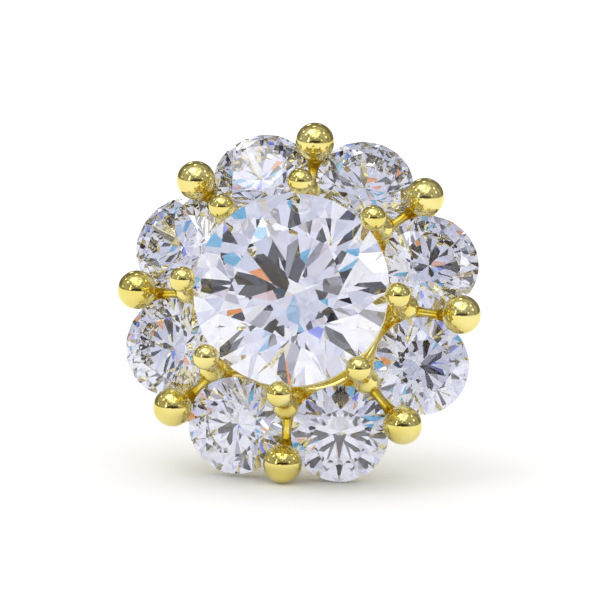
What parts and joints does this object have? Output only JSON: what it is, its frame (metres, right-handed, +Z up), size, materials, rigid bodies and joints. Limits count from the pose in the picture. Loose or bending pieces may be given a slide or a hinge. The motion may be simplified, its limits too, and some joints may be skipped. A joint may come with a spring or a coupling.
{
  "type": "cluster stud earring",
  "caption": "Stud earring with a raised round centre stone, a ring of smaller round stones, ball-tipped claws and a straight post.",
  "frame": {"origin": "middle of the underside of the box round the earring as it lies on a flat surface", "axes": "+Z up, +Y the way the post runs, level with the surface, +X to the right of someone who looks at the face"},
  "size_m": [0.0094, 0.0148, 0.0089],
  "materials": {
    "gold_plate": "polished",
    "clear_stone": "polished facets"
  },
  "bodies": {
    "root": {"setting": "gold_plate", "post": "gold_plate", "centre_stone": "clear_stone", "halo_stone_1": "clear_stone", "halo_stone_2": "clear_stone", "halo_stone_3": "clear_stone", "halo_stone_4": "clear_stone", "halo_stone_5": "clear_stone", "halo_stone_6": "clear_stone", "halo_stone_7": "clear_stone", "halo_stone_8": "clear_stone"}
  },
  "joints": []
}
